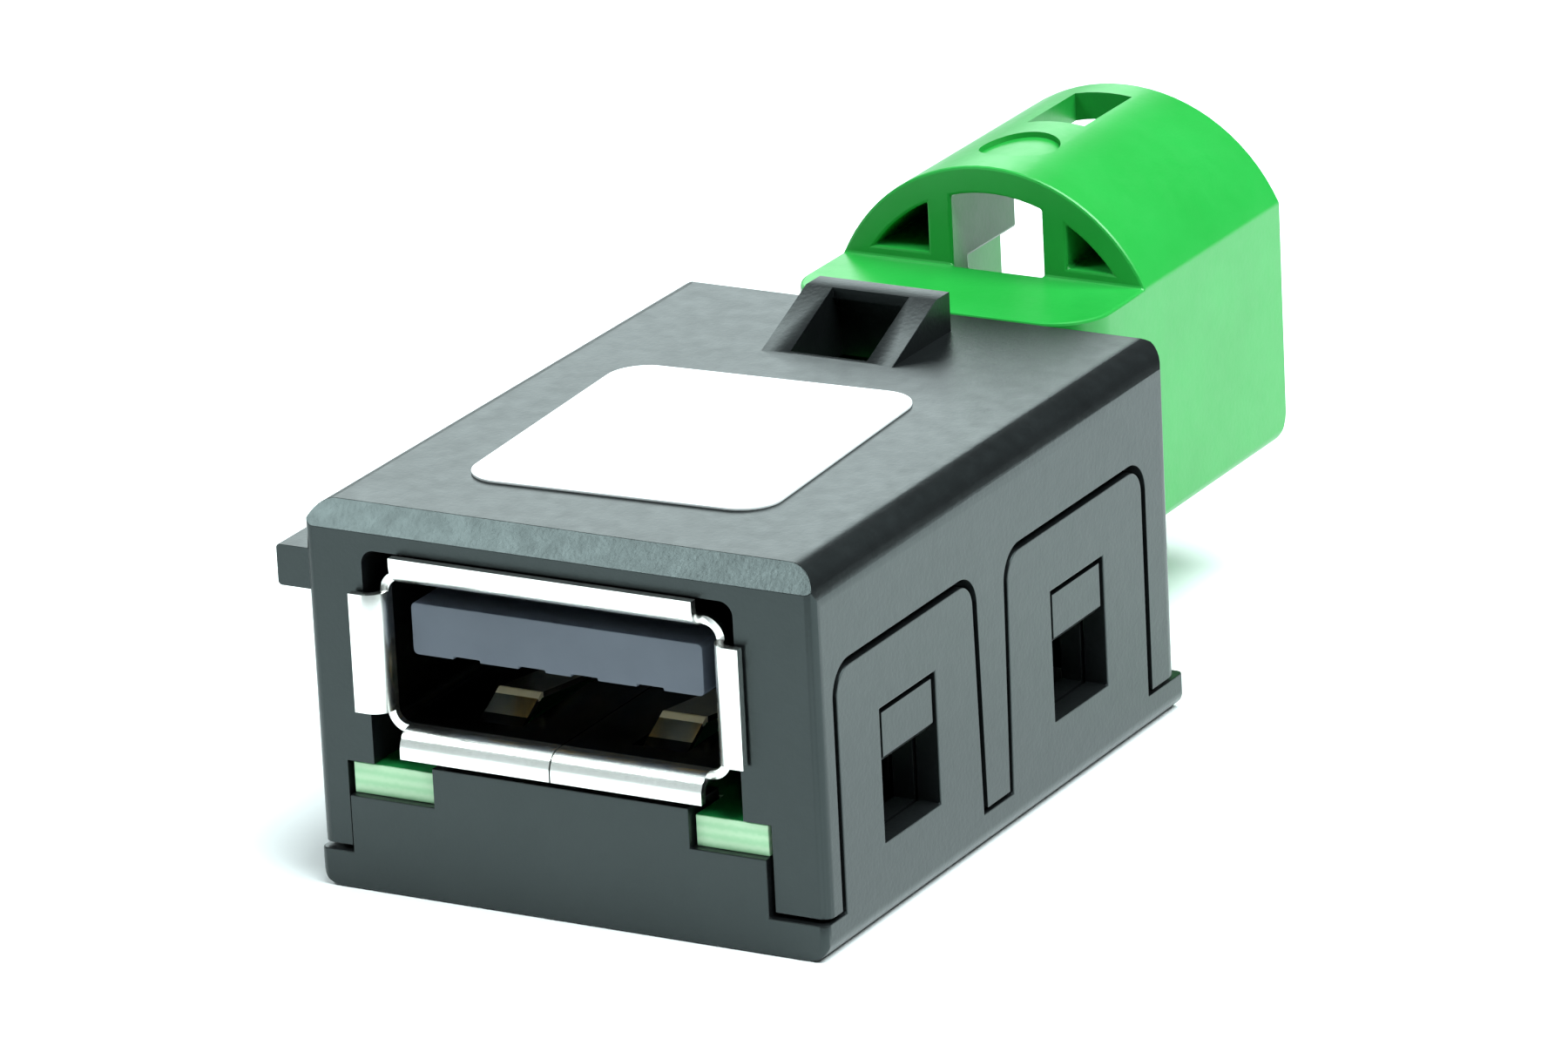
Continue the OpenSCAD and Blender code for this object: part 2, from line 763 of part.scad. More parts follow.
// Cuts in the floor of the shell: a slot round each spring, the seam, and the opening over the contact tails.
module floor_cuts() {
    high = -mouth_height / 2 + skim;
    low = high - lip_over_height / 2;
    half = spring_width / 2 + spring_gap;
    for (x = [-spring_x, spring_x])
        block([x - half, front_y + spring_tip - spring_gap, low],
              [x + half, front_y + spring_root - fit, high]);
    block([-seam / 2, front_y - over, low], [seam / 2, block_y, high]);
    block([-block_foot / 2 - fit, block_y, low], [block_foot / 2 + fit, shell_rear + over, high]);
}

// A floor spring is rooted at its rear end, bows up into the mouth and dips under the floor at its tip.
module floor_spring() {
    tip = [front_y + spring_tip, -spring_dip];
    crest = [front_y + spring_crest, spring_rise];
    root = [front_y + spring_root, 0];
    under = [0, -spring_thick];
    translate([0, 0, -mouth_height / 2])
        along_x(-spring_width / 2, spring_width / 2)
            polygon([root, crest, tip, tip + under, crest + under, root + under]);
}

module shell_legs() {
    both_sides()
        for (y = leg_places)
            block([shell_half - sheet, y - leg_length / 2, lead_end - socket_z],
                  [shell_half, y + leg_length / 2, 0]);
}

module usb_shell() {
    color(metal)
        translate([socket_x, 0, socket_z]) {
            difference() {
                union() {
                    shell_tube();
                    shell_lips();
                }
                floor_cuts();
            }
            for (x = [-spring_x, spring_x]) translate([x, 0, 0]) floor_spring();
            shell_legs();
        }
}

// Room for the four contacts: a groove under the tongue, on through the block.
module contact_grooves() {
    for (x = contact_places)
        block([x - contact_width / 2, front_y, contact_low],
              [x + contact_width / 2, shell_rear + over, contact_high]);
}

module usb_insulator() {
    mouth = [mouth_width, mouth_height] / 2;
    tongue = [tongue_span / 2, tongue_thick];
    color([0.52, 0.5, 0.58])
        translate([socket_x, 0, 0])
            difference() {
                union() {
                    translate([0, 0, tongue_low])
                        along_y(tongue_front, block_y + bond)
                            round_rect([-tongue[0], 0], tongue, all_corners(tongue_round));
                    translate([0, 0, socket_z])
                        along_y(block_y, shell_rear) round_rect(-mouth, mouth, all_corners(mouth_round));
                    block([-block_foot / 2, block_y + foot_inset, board_top],
                          [block_foot / 2, shell_rear, socket_z]);
                }
                contact_grooves();
            }
}

module usb_contact(x) {
    tip = tongue_front + contact_start;
    bow_front = tip + contact_bow_length * 3 / 8;
    bow_rear = tip + contact_bow_length * 5 / 8;
    end = tip + contact_bow_length;
    color(gold)
        translate([socket_x + x, 0, 0]) {
            along_x(-contact_width / 2, contact_width / 2)
                polygon([
                    [tip, contact_high], [bow_front, contact_high - contact_bow],
                    [bow_rear, contact_high - contact_bow], [end, contact_high], [tail_y, contact_high],
                    [tail_y, contact_low], [end, contact_low], [bow_rear, contact_low - contact_bow],
                    [bow_front, contact_low - contact_bow], [tip, contact_low]
                ]);
            block([-tail_width / 2, tail_y - contact_thick, lead_end],
                  [tail_width / 2, tail_y, contact_high - skim]);
        }
}

// Hood section: flat sides with an arch over them, shrunk inward by a wall.
module hood_section(wall) {
    half = shroud_half - wall;
    rise = arch_rise - wall;
    radius = (half * half + rise * rise) / (2 * rise);
    round_rect([-half, board_top + wall], [half, crease_z], [shroud_round, shroud_round, 0, 0]);
    intersection() {
        translate([0, crease_z + rise - radius]) circle(radius);
        translate([-half, crease_z - skim]) square([2 * half, arch_rise + over]);
    }
}

module shroud_outer() {
    intersection() {
        along_z(board_top, crease_z)
            round_rect([-shroud_half, shroud_front], [shroud_half, hood_front],
                       [ledge_round, ledge_round, 0, 0]);
        along_y(shroud_front, hood_front)
            round_rect([-shroud_half, board_top], [shroud_half, crease_z],
                       [shroud_round, shroud_round, 0, 0]);
    }
    intersection() {
        along_y(hood_front, hood_rear) hood_section(0);
        along_x(-shroud_half - over, shroud_half + over)
            round_rect([hood_front, board_top], [hood_rear, arch_top + over], [0, hood_round, 0, 0]);
    }
}

module shroud_neck() {
    flange_half = neck_half + flange_step;
    high = board_top + neck_height;
    block([-neck_half, flange_rear - bond, board_top], [neck_half, shroud_front + bond, high]);
    block([-flange_half, flange_front, board_top], [flange_half, flange_rear, high]);
}

// The space under the hood: open to the rear, and to the front only above the ledge.
module hood_space() {
    rear = hood_floor + over;
    along_y(hood_floor, hood_rear + over) hood_section(hood_wall);
    along_y(hood_rear - mouth_step_depth, hood_rear + over) hood_section(hood_wall - mouth_step);
    intersection() {
        along_y(hood_front - over, rear) hood_section(hood_wall);
        block([-shroud_half, hood_front - over, crease_z], [shroud_half, rear, arch_top]);
    }
    translate([tunnel_x, 0, 0])
        block([-tunnel_width / 2, hood_front, crease_z - tunnel_sink],
              [tunnel_width / 2, rear, crease_z + bond]);
}

// The latch window goes through the arch, and the round recess in front of it follows the arch.
module arch_cuts() {
    latch_rear = hood_rear - latch_back;
    middle = hood_front + recess_front;
    translate([latch_x, 0, 0])
        block([-latch_width / 2, latch_rear - latch_length, crease_z],
              [latch_width / 2, latch_rear, arch_top + over]);
    difference() {
        translate([latch_x, middle, crease_z]) cylinder(d = recess_diameter, h = arch_rise + over);
        along_y(middle - recess_diameter, middle + recess_diameter) hood_section(recess_depth);
    }
}

// Half of the space under the arch on each side of the middle opening, from a distance beside that opening.
module beside_tunnel(apart, front, rear, low) {
    translate([tunnel_x, 0, 0])
        both_sides()
            block([tunnel_width / 2 + apart, front, low], [shroud_width, rear, arch_top]);
}

module arch_pockets() {
    rear = hood_front + pocket_depth;
    difference() {
        intersection() {
            along_y(hood_front, rear + pocket_wall) hood_section(hood_wall / 2);
            beside_tunnel(0, hood_front, rear + pocket_wall, crease_z);
        }
        intersection() {
            along_y(hood_front - over, rear) hood_section(hood_wall);
            beside_tunnel(rib_thick, hood_front - over, rear, crease_z + pocket_wall);
        }
    }
}

module rear_shroud() {
    color(green)
        translate([shroud_x, 0, 0]) {
            difference() {
                union() {
                    shroud_outer();
                    shroud_neck();
                }
                hood_space();
                arch_cuts();
                translate([0, 0, axis_z])
                    along_y(flange_front - over, hood_floor + over) circle(shield_radius);
            }
            arch_pockets();
        }
}

module rear_shield() {
    color(metal)
        translate([shroud_x, 0, axis_z]) {
            along_y(sleeve_front, sleeve_rear)
                difference() {
                    circle(shield_radius);
                    circle(core_radius);
                }
            both_sides()
                block([core_radius, sleeve_front, lead_end - axis_z],
                      [shield_radius, sleeve_front + shield_leg, 0]);
        }
}

module rear_insulator() {
    color([0.9, 0.9, 0.86])
        translate([shroud_x, 0, axis_z])
            along_y(sleeve_front, sleeve_rear - core_recess)
                difference() {
                    circle(core_radius);
                    for (pin = pin_places)
                        translate([pin[0], pin[1]] * pin_pitch / 2) square(pin_width, center = true);
                }
}

module rear_pin(pin) {
    bend = sleeve_front - pin[2];
    high = axis_z + pin[1] * pin_pitch / 2;
    half = pin_width / 2;
    color(gold)
        translate([shroud_x + pin[0] * pin_pitch / 2, 0, 0]) {
            block([-half, bend - half, high - half], [half, sleeve_rear - pin_recess, high + half]);
            block([-half, bend - half, lead_end], [half, bend + half, high + half]);
        }
}

module data_choke() {
    plate = [choke_length, choke_width, choke_plate];
    core = [choke_core_length, choke_core_width, choke_height - choke_plate];
    color([0.2, 0.2, 0.22])
        translate([choke_x, parts_y, board_top]) {
            translate([-plate[0] / 2, -plate[1] / 2, 0]) cube(plate);
            translate([-core[0] / 2, -core[1] / 2, choke_plate / 2]) cube(core);
            translate([-plate[0] / 2, -plate[1] / 2, choke_height - choke_plate]) cube(plate);
        }
}

module surge_array() {
    lead_out = array_width / 2 + array_lead_reach;
    color([0.16, 0.16, 0.17])
        translate([0, parts_y, board_top]) {
            translate([-array_length / 2, -array_width / 2, array_seat])
                cube([array_length, array_width, array_height - array_seat]);
            for (x = [-array_pitch, 0, array_pitch])
                translate([x - array_lead / 2, -lead_out, 0]) cube([array_lead, 2 * lead_out, array_lead]);
        }
}

// A bypass capacitor: a ceramic block with a groove beside each of its two end caps.
module bypass_cap(step) {
    color(ceramic)
        translate([cap_x, parts_y + step * cap_pitch / 2, board_top])
            difference() {
                translate([-cap_length / 2, -cap_width / 2, 0]) cube([cap_length, cap_width, cap_width]);
                for (side = [-1, 1])
                    translate([side * cap_length / 4, 0, cap_width])
                        cube([cap_groove, cap_width + over, cap_groove], center = true);
            }
}

upper_housing();
lower_cover();
label();
circuit_board();
usb_shell();
usb_insulator();
for (i = [1:4])
    usb_contact(contact_places[i - 1]);
rear_shroud();
rear_shield();
rear_insulator();
for (i = [1:4])
    rear_pin(pin_places[i - 1]);
data_choke();
surge_array();
bypass_cap(-1);  // bypass_cap_1
bypass_cap(1);  // bypass_cap_2
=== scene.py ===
"""Car USB socket: dresses the CAD solids with softened edges, finishes, studio light and a camera."""

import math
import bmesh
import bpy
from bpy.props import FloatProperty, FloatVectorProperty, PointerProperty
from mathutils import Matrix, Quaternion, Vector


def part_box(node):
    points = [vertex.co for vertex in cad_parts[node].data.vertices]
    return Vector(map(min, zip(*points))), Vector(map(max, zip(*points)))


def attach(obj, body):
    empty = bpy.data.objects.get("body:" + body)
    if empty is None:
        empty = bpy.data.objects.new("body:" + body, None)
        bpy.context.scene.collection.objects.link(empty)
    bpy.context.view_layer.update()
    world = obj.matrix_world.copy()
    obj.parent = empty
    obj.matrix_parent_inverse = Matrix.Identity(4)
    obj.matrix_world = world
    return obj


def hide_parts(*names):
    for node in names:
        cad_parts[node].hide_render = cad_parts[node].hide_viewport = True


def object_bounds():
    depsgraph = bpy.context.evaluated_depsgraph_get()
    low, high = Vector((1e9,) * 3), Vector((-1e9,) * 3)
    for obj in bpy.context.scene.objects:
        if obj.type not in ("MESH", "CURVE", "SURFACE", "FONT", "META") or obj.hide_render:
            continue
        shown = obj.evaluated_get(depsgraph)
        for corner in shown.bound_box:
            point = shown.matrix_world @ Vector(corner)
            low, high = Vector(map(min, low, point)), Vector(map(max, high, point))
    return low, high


bl_info = {
    "name": "Car USB Socket",
    "version": (1, 0, 0),
    "blender": (4, 5, 0),
    "location": "View3D > Sidebar > USB Socket",
    "description": "Softened mouldings, finishes, studio light and camera for a car USB socket",
    "category": "Object",
}

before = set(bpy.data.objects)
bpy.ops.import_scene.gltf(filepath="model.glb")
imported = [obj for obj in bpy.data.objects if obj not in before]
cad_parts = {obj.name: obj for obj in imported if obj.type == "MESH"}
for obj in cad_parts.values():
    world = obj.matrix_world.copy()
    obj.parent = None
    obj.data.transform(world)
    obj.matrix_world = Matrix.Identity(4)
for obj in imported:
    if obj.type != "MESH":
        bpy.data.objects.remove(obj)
CAD_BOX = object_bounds()
BODY = "root"
MM = 0.001

# Merging and softening of the copied solids
MERGE_REACH = 0.001 * MM
FLAT_ANGLE = math.radians(0.3)
SHARP_ANGLE = math.radians(32)
SHROUD_ANGLE = math.radians(20)

# Roof of the arch, where the recess and the window stay crisp: from the shroud's left side, rear end and top
ROOF_LEFT = 4.0 * MM
ROOF_RIGHT = 7.4 * MM
ROOF_FRONT = 9.3 * MM
ROOF_REAR = 1.1 * MM
ROOF_DEPTH = 1.2 * MM

# Zones of the socket shell, from its front, its two sides and its top, and up from its floor: the painted
# shade inside the mouth, the springs, and the painted highlight along the crest of each spring
MOUTH_FRONT = 0.95 * MM
FLOOR_DEPTH = 6.06 * MM
SPRING_INSET = 2 * MM
SPRING_FRONT = 1.5 * MM
SPRING_TOP = 0.8 * MM
CREST_FRONT = 3.37 * MM
CREST_REAR = 3.73 * MM
CREST_FOOT = 0.3 * MM
CREST_METAL = 0.1

# Mouldings: flow patches, uneven gloss and eroded grain
FLOW_SIZE = 4 * MM
GLOSS_SIZE = 0.6 * MM
GRAIN_DETAIL = 2.0
BLACK_GRAIN = 0.16 * MM
GREEN_GRAIN = 0.2 * MM
TONGUE_GRAIN = 0.12 * MM
CORE_GRAIN = 0.15 * MM
BLACK_RELIEF = 0.006 * MM
FINE_RELIEF = 0.004 * MM
INNER_ROUGH = 0.5

# How much smoother and rougher than its mean a moulding or a sheet gets
GLOSS_LOSS = 0.02
GLOSS_GAIN = 0.03

# Plated sheet: drawing streaks and dull patches
STREAK_SIZE = 0.12 * MM
STREAK_DETAIL = 4.0
STREAK_RELIEF = 0.001 * MM
STREAK_STRENGTH = 0.02
DULL_SIZE = 1.8 * MM
NICKEL_ROUGH = 0.24
NICKEL_DRAW = (1.0, 0.08, 1.0)
GOLD_ROUGH = 0.28
GOLD_DRAW = (1.0, 0.1, 1.0)

# Label paper
FIBRE_SIZE = 0.1 * MM
FIBRE_DRAW = (1.0, 0.35, 1.0)
FIBRE_DETAIL = 6.0
PAPER_ROUGH = (0.5, 0.62)
PAPER_STRENGTH = 0.5

# Board: layers in the cut edge, and the upright part of a normal between which edge turns to face
LAYER_SIZE = 1.2 * MM
LAYER_WAVER = 1.4
LAYER_DETAIL = 3.0
LAYER_DETAIL_SCALE = 6.0
EDGE_TO_FACE = (0.6, 0.8)
EDGE_ROUGH = 0.55
MASK_ROUGH = 0.28
WEAVE_SIZE = 0.15 * MM
WEAVE_RELIEF = 0.006 * MM
WEAVE_STRENGTH = 0.6

# Small parts on the board
CHIP_GRAIN = 0.08 * MM
CHIP_DETAIL = 4.0
CHIP_STRENGTH = 0.5
CHIP_LOSS = 0.05
CHIP_GAIN = 0.08
FERRITE_ROUGH = 0.6
PACKAGE_ROUGH = 0.55
CERAMIC_ROUGH = 0.45

# Stage, in metres: the floor, and each panel's place, width and height
FLOOR_SIZE = 4.0
FLOOR_DROP = 0.02 * MM
FLOOR_WHITE = (0.93, 0.935, 0.94, 1.0)
FLOOR_PATCH = 20 * MM
FLOOR_ROUGH = (0.75, 0.85)
SKY_WHITE = (1.0, 1.0, 1.0, 1.0)
KEY_PANEL = ((-0.33, -0.2, 0.45), 0.18, 0.18)
BACK_PANEL = ((-0.32, 0.5, 0.25), 0.26, 0.26)
TOP_PANEL = ((0.18, 0.03, 0.42), 0.4, 0.4)
FRONT_PANEL = ((-0.28, -0.5, 0.2), 0.16, 0.4)
SENSOR_WIDTH = 36.0
CLIP_START = 0.01

# Places of the colours among the sockets of a Mix node
MIX_FIRST = 6
MIX_SECOND = 7
MIX_RESULT = 2


def distance(name, words, default):
    """A length in metres, given in millimetres."""
    return FloatProperty(name=name, description=words, default=default * MM, min=0.0, precision=6,
                         subtype="DISTANCE", unit="LENGTH")


def colour(name, words, default):
    """A linear colour without alpha."""
    return FloatVectorProperty(name=name, description=words, default=default, size=3, min=0.0, max=1.0,
                               subtype="COLOR")


def factor(name, words, default):
    """A number from 0 to 1."""
    return FloatProperty(name=name, description=words, default=default, min=0.0, max=1.0, subtype="FACTOR")


def angle(name, words, default):
    """An angle, given in degrees."""
    return FloatProperty(name=name, description=words, default=math.radians(default), subtype="ANGLE")


def power(name, words, default):
    """The power of a light in watts."""
    return FloatProperty(name=name, description=words, default=default, min=0.0, unit="POWER")


class SocketEdges(bpy.types.PropertyGroup):
    """How far the edges of each piece are softened."""

    housing: distance("Housing", "Softening of the black mouldings' edges", 0.06)
    shroud: distance("Shroud", "Softening of the green moulding's edges", 0.1)
    sheet: distance("Sheet metal", "Softening of the folded sheet's edges", 0.05)
    plastic: distance("Inner plastic", "Softening of the inner mouldings' edges", 0.06)
    board: distance("Board", "Softening of the routed board's edges", 0.03)
    contact: distance("Contacts", "Softening of the stamped contacts' edges", 0.03)
    label: distance("Label", "Softening of the label's cut edge", 0.02)


class SocketFinishes(bpy.types.PropertyGroup):
    """Colours and gloss of the finishes."""

    black: colour("Black", "Black of the housing", (0.0035, 0.0038, 0.0042))
    black_pale: colour("Pale black", "Paler flow patches in the black", (0.006, 0.0064, 0.007))
    black_rough: factor("Black roughness", "Roughness of the black moulding", 0.31)
    black_sheen: colour("Black sheen", "Cool tint of the black's reflections", (0.84, 1.0, 1.0))
    green: colour("Green", "Green of the shroud", (0.011, 0.27, 0.033))
    green_pale: colour("Pale green", "Paler flow patches in the green", (0.015, 0.3, 0.042))
    green_rough: factor("Green roughness", "Roughness of the green moulding", 0.34)
    nickel: colour("Nickel", "Plating of the sheet metal", (0.93, 0.93, 0.91))
    nickel_dull: colour("Dull nickel", "Duller patches of the plating", (0.88, 0.88, 0.85))
    # Painted shade: a dark colour for the sheet inside the mouth, standing in for the shade there
    mouth_shade: colour("Dark sheet", "Painted shade on the sheet inside the mouth", (0.03, 0.03, 0.032))
    spring: colour("Springs", "Bare bronze of the floor springs", (0.92, 0.86, 0.64))
    gold: colour("Gold", "Plating of the contacts", (0.83, 0.6, 0.24))
    gold_dull: colour("Dull gold", "Duller patches of the contacts", (0.62, 0.44, 0.19))
    label: colour("Label", "White of the label", (0.93, 0.93, 0.93))
    label_fibre: colour("Label fibre", "Fibres in the label", (0.86, 0.865, 0.87))
    laminate: colour("Laminate", "Cut edge of the board", (0.35, 0.62, 0.36))
    laminate_glass: colour("Glass layers", "Glass layers in the cut edge", (0.47, 0.69, 0.45))
    mask: colour("Mask", "Lacquer on the board's faces", (0.015, 0.26, 0.06))
    ferrite: colour("Ferrite", "Body of the choke", (0.05, 0.05, 0.055))
    ferrite_pale: colour("Pale ferrite", "Paler grain of the choke", (0.09, 0.09, 0.1))
    package: colour("Chip", "Body of the surge array", (0.02, 0.02, 0.022))
    package_pale: colour("Pale chip", "Paler grain of the surge array", (0.035, 0.035, 0.038))
    ceramic: colour("Ceramic", "Body of the capacitors", (0.42, 0.28, 0.17))
    ceramic_pale: colour("Pale ceramic", "Paler grain of the capacitors", (0.55, 0.4, 0.27))
    lilac: colour("Tongue", "Lilac-grey of the tongue", (0.069, 0.082, 0.109))
    lilac_pale: colour("Pale tongue", "Paler patches of the tongue", (0.091, 0.107, 0.139))
    core: colour("Core", "Natural white of the rear core", (0.6, 0.59, 0.53))
    core_pale: colour("Pale core", "Paler flow patches in the core", (0.66, 0.65, 0.6))


class SocketStage(bpy.types.PropertyGroup):
    """Camera and studio light."""

    azimuth: angle("Azimuth", "Camera's turn to the right of the front", 29.97)
    elevation: angle("Elevation", "Camera's height over the horizon", 19.40)
    roll: angle("Roll", "Camera's roll", -2.92)
    reach: distance("Distance", "From the aim to the camera", 350.5)
    aim: FloatVectorProperty(name="Aim", description="Point in the middle of the view",
                             default=(-2.354 * MM, 6.544 * MM, 7.324 * MM), precision=6,
                             subtype="TRANSLATION", unit="LENGTH")
    lens: FloatProperty(name="Lens", description="Focal length on a 36 mm wide sensor", default=232.9,
                        unit="CAMERA")
    sky: FloatProperty(name="Sky", description="Strength of the white surroundings", default=0.05)
    tint: colour("Light tint", "Cool tint of the panels", (0.87, 1.0, 1.0))
    key_power: power("Key light", "High panel on the left, which the front chamfer mirrors", 1.7)
    back_power: power("Back light", "Low panel at the rear left, which the top face mirrors", 0.7)
    top_power: power("Top light", "Wide panel overhead, which lights the floor that the sides mirror", 5.6)
    front_power: power("Front light", "Low panel at the front left, which the bends of the lips mirror", 0.16)


def settings():
    """The three property groups of the scene."""
    scene = bpy.context.scene
    return scene.usb_socket_edges, scene.usb_socket_finishes, scene.usb_socket_stage


# Materials

def new_finish(name):
    """A material with one principled shader: the material, its node tree and the shader."""
    finish = bpy.data.materials.new(name)
    finish.use_nodes = True
    tree = finish.node_tree
    return finish, tree, tree.nodes["Principled BSDF"]


def object_point(tree, stretch=(1.0, 1.0, 1.0)):
    """Object coordinates, stretched along the axes."""
    point = tree.nodes.new("ShaderNodeTexCoord")
    mapping = tree.nodes.new("ShaderNodeMapping")
    mapping.inputs["Scale"].default_value = stretch
    tree.links.new(point.outputs["Object"], mapping.inputs["Vector"])
    return mapping.outputs["Vector"]


def noise(tree, point, grain, detail=3.0):
    """Noise whose spots measure about one grain."""
    spots = tree.nodes.new("ShaderNodeTexNoise")
    spots.inputs["Scale"].default_value = 1.0 / grain
    spots.inputs["Detail"].default_value = detail
    tree.links.new(point, spots.inputs["Vector"])
    return spots.outputs["Fac"]


def spread(tree, value, low, high, start=0.3, end=0.7):
    """A value from start to end, spread between two numbers. Most noise lies between 0.3 and 0.7."""
    ranged = tree.nodes.new("ShaderNodeMapRange")
    ranged.inputs["From Min"].default_value = start
    ranged.inputs["From Max"].default_value = end
    ranged.inputs["To Min"].default_value = low
    ranged.inputs["To Max"].default_value = high
    tree.links.new(value, ranged.inputs["Value"])
    return ranged.outputs["Result"]


def blend(tree, value, first, second):
    """A colour between two colours, or between two sockets that give them."""
    mix = tree.nodes.new("ShaderNodeMix")
    mix.data_type = "RGBA"
    tree.links.new(value, mix.inputs["Factor"])
    for socket, source in ((mix.inputs[MIX_FIRST], first), (mix.inputs[MIX_SECOND], second)):
        if isinstance(source, bpy.types.NodeSocket):
            tree.links.new(source, socket)
        else:
            socket.default_value = (*source, 1.0)
    return mix.outputs[MIX_RESULT]


def bump(tree, shader, height, depth, strength=1.0):
    """Relief of a given depth on the shader."""
    relief = tree.nodes.new("ShaderNodeBump")
    relief.inputs["Strength"].default_value = strength
    relief.inputs["Distance"].default_value = depth
    tree.links.new(height, relief.inputs["Height"])
    tree.links.new(relief.outputs["Normal"], shader.inputs["Normal"])


def vector_step(tree, operation, first, second=None):
    """One vector operation on a socket, with a constant where it takes two values."""
    step = tree.nodes.new("ShaderNodeVectorMath")
    step.operation = operation
    tree.links.new(first, step.inputs[0])
    if second is not None:
        step.inputs[1].default_value = second
    return step.outputs["Vector"]


def number_step(tree, operation, first, second=None):
    """One operation on a socket, with a socket or a constant where it takes two values."""
    step = tree.nodes.new("ShaderNodeMath")
    step.operation = operation
    tree.links.new(first, step.inputs[0])
    if isinstance(second, bpy.types.NodeSocket):
        tree.links.new(second, step.inputs[1])
    elif second is not None:
        step.inputs[1].default_value = second
    return step.outputs["Value"]


def axes_of(tree, vector):
    """The three numbers of a vector, as sockets X, Y and Z."""
    axes = tree.nodes.new("ShaderNodeSeparateXYZ")
    tree.links.new(vector, axes.inputs["Vector"])
    return axes.outputs


def box_mask(tree, low, high):
    """1 inside a box of object coordinates and 0 outside."""
    low, high = Vector(low), Vector(high)
    offset = vector_step(tree, "SUBTRACT", object_point(tree), (low + high) / 2)
    signed = vector_step(tree, "DIVIDE", offset, (high - low) / 2)
    share = axes_of(tree, vector_step(tree, "ABSOLUTE", signed))
    widest = number_step(tree, "MAXIMUM", share["X"], share["Y"])
    return number_step(tree, "LESS_THAN", number_step(tree, "MAXIMUM", widest, share["Z"]), 1.0)


def moulding(name, first, second, rough, grain, depth, sheen=(1.0, 1.0, 1.0)):
    """Moulded plastic: slow flow patches in the colour, an eroded grain and uneven gloss."""
    finish, tree, shader = new_finish(name)
    shader.inputs["Specular Tint"].default_value = (*sheen, 1.0)
    point = object_point(tree)
    patches = spread(tree, noise(tree, point, FLOW_SIZE), 0.0, 1.0)
    tree.links.new(blend(tree, patches, first, second), shader.inputs["Base Color"])
    gloss = spread(tree, noise(tree, point, GLOSS_SIZE), rough - GLOSS_LOSS, rough + GLOSS_GAIN)
    tree.links.new(gloss, shader.inputs["Roughness"])
    bump(tree, shader, noise(tree, point, grain, GRAIN_DETAIL), depth)
    return finish


def plated_sheet(name, bright, dull, rough, draw, zones=()):
    """Plated metal with fine drawing streaks along one axis.

    A zone is the low and the high corner of a box, its colour and how metallic it is. A later zone covers
    an earlier one, and one zone at most is less than wholly metallic."""
    finish, tree, shader = new_finish(name)
    shader.inputs["Metallic"].default_value = 1.0
    streaks = noise(tree, object_point(tree, draw), STREAK_SIZE, STREAK_DETAIL)
    patches = spread(tree, noise(tree, object_point(tree), DULL_SIZE), 0.0, 1.0)
    tint = blend(tree, patches, bright, dull)
    for low, high, inside, metallic in zones:
        mask = box_mask(tree, low, high)
        tint = blend(tree, mask, tint, inside)
        if metallic < 1.0:
            tree.links.new(spread(tree, mask, 1.0, metallic, 0.0, 1.0), shader.inputs["Metallic"])
    tree.links.new(tint, shader.inputs["Base Color"])
    gloss = spread(tree, streaks, rough - GLOSS_LOSS, rough + GLOSS_GAIN)
    tree.links.new(gloss, shader.inputs["Roughness"])
    bump(tree, shader, streaks, STREAK_RELIEF, STREAK_STRENGTH)
    return finish


def shell_zones(finishes):
    """Zones of the socket shell behind its bright lips: painted shade in the mouth, floor springs, and a
    painted highlight along the crest of each spring.
    """
    low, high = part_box("usb_shell")
    left, right = low[0] + SPRING_INSET, high[0] - SPRING_INSET
    front = low[1]
    floor = high[2] - FLOOR_DEPTH
    top = floor + SPRING_TOP
    # Painted shade: from just behind the lips the sheet is coloured dark for the shade inside the mouth
    mouth = ((low[0], front + MOUTH_FRONT, low[2]), high, finishes.mouth_shade, 1.0)
    springs = ((left, front + SPRING_FRONT, floor), (right, high[1], top), finishes.spring, 1.0)
    # Painted highlight: a nearly non-metallic band of spring colour along the crest of each spring stands in
    # for its gleam
    crest_highlights = ((left, front + CREST_FRONT, floor + CREST_FOOT), (right, front + CREST_REAR, top),
              finishes.spring, CREST_METAL)
    return mouth, springs, crest_highlights


def sticker_paper(finishes):
    """Coated white paper with faint fibres."""
    finish, tree, shader = new_finish("label_paper")
    fibres = noise(tree, object_point(tree, FIBRE_DRAW), FIBRE_SIZE, FIBRE_DETAIL)
    tint = blend(tree, spread(tree, fibres, 0.0, 1.0), finishes.label, finishes.label_fibre)
    tree.links.new(tint, shader.inputs["Base Color"])
    tree.links.new(spread(tree, fibres, *PAPER_ROUGH), shader.inputs["Roughness"])
    bump(tree, shader, fibres, FINE_RELIEF, PAPER_STRENGTH)
    return finish


